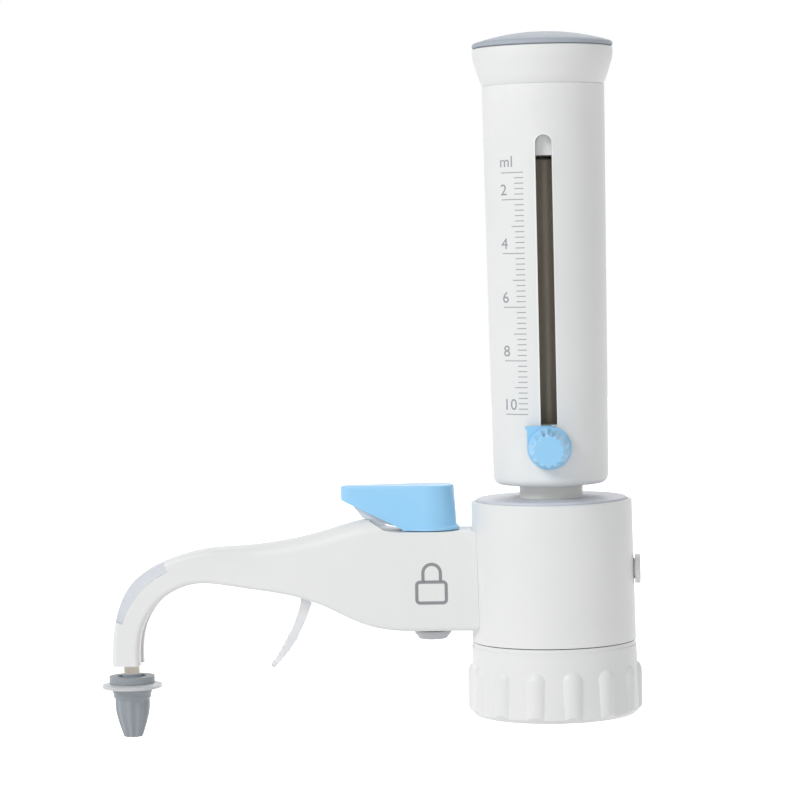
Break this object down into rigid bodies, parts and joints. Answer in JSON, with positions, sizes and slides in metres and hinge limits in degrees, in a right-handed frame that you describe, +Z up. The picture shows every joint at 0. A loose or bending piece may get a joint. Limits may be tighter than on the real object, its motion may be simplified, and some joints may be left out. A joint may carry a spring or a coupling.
{
  "type": "bottle-top dispenser",
  "caption": "Bottle-top dispenser with a lifting slotted barrel, volume slider and clamp knob, screw collar, lever valve and curved discharge arm with a capped nozzle.",
  "frame": {"origin": "on the main axis, in the plane of the collar's mouth", "axes": "+Z up along the barrel, -X along the discharge arm, -Y towards the scale and slot"},
  "size_m": [0.1829, 0.0675, 0.2344],
  "materials": {
    "body_white": "satin",
    "disc_plastic": "satin",
    "guard_plastic": "satin",
    "valve_plastic": "satin",
    "piston_plastic": "satin",
    "seal_rubber": "matt",
    "amber_glass": "polished",
    "ball_glass": "polished",
    "spring_metal": "satin",
    "tube_plastic": "smooth",
    "nozzle_plastic": "smooth",
    "insert_plastic": "smooth",
    "strap_plastic": "smooth",
    "spindle_plastic": "satin",
    "plug_grey": "satin",
    "blue_plastic": "smooth",
    "cap_grey": "satin",
    "nozzle_cap_grey": "satin",
    "vent_white": "satin"
  },
  "bodies": {
    "valve_block": {"housing": "body_white", "top_disc": "disc_plastic", "valve_core": "valve_plastic", "core_nut": "valve_plastic", "bottle_gasket": "seal_rubber", "filling_valve": "valve_plastic", "filling_ball": "ball_glass", "cylinder_seal": "seal_rubber", "glass_cylinder": "amber_glass", "cylinder_guard": "guard_plastic", "discharge_valve": "valve_plastic", "discharge_ball": "ball_glass", "discharge_spring": "spring_metal", "rotary_valve_body": "valve_plastic", "discharge_tube": "tube_plastic", "nozzle_tip": "nozzle_plastic", "bend_insert": "insert_plastic", "arm_front_shell": "body_white", "arm_rear_shell": "body_white", "tether_strap": "strap_plastic"},
    "collar": {"bottle_collar": "body_white"},
    "barrel": {"barrel_sleeve": "body_white", "guide_ring": "valve_plastic", "head_collar": "body_white", "top_cap": "cap_grey", "piston_rod": "piston_plastic", "piston": "piston_plastic", "rod_nut": "spring_metal"},
    "slider": {"volume_slider": "blue_plastic", "clamp_shoe": "piston_plastic"},
    "knob": {"clamp_knob": "blue_plastic", "clamp_screw": "spring_metal"},
    "lever": {"valve_lever": "blue_plastic", "lever_insert": "insert_plastic", "valve_spindle": "spindle_plastic", "spindle_seals": "seal_rubber", "spindle_plug": "plug_grey"},
    "cap": {"nozzle_cap": "nozzle_cap_grey", "cap_ring": "nozzle_cap_grey"},
    "vent": {"vent_plug": "vent_white"}
  },
  "joints": [
    {"name": "barrel_lift", "type": "slide", "parent": "valve_block", "child": "barrel", "axis": [0, 0, 1], "range_m": [0, 0.0884]},
    {"name": "volume_set", "type": "slide", "parent": "barrel", "child": "slider", "axis": [0, 0, 1], "range_m": [0, 0.0823]},
    {"name": "knob_turn", "type": "hinge", "parent": "slider", "child": "knob", "pos_m": [0, -0.025, 0.09045], "axis": [0, -1, 0], "range_deg": [0, 360]},
    {"name": "lever_turn", "type": "hinge", "parent": "valve_block", "child": "lever", "pos_m": [-0.0407, 0, 0.06255], "axis": [0, 0, 1], "range_deg": [-90, 90]},
    {"name": "collar_turn", "type": "hinge", "parent": "valve_block", "child": "collar", "pos_m": [0, 0, 0], "axis": [0, 0, 1], "continuous": true},
    {"name": "cap_pull", "type": "slide", "parent": "valve_block", "child": "cap", "axis": [0, 0, -1], "range_m": [0, 0.025]},
    {"name": "vent_pull", "type": "slide", "parent": "valve_block", "child": "vent", "axis": [1, 0, 0], "range_m": [0, 0.01]}
  ]
}
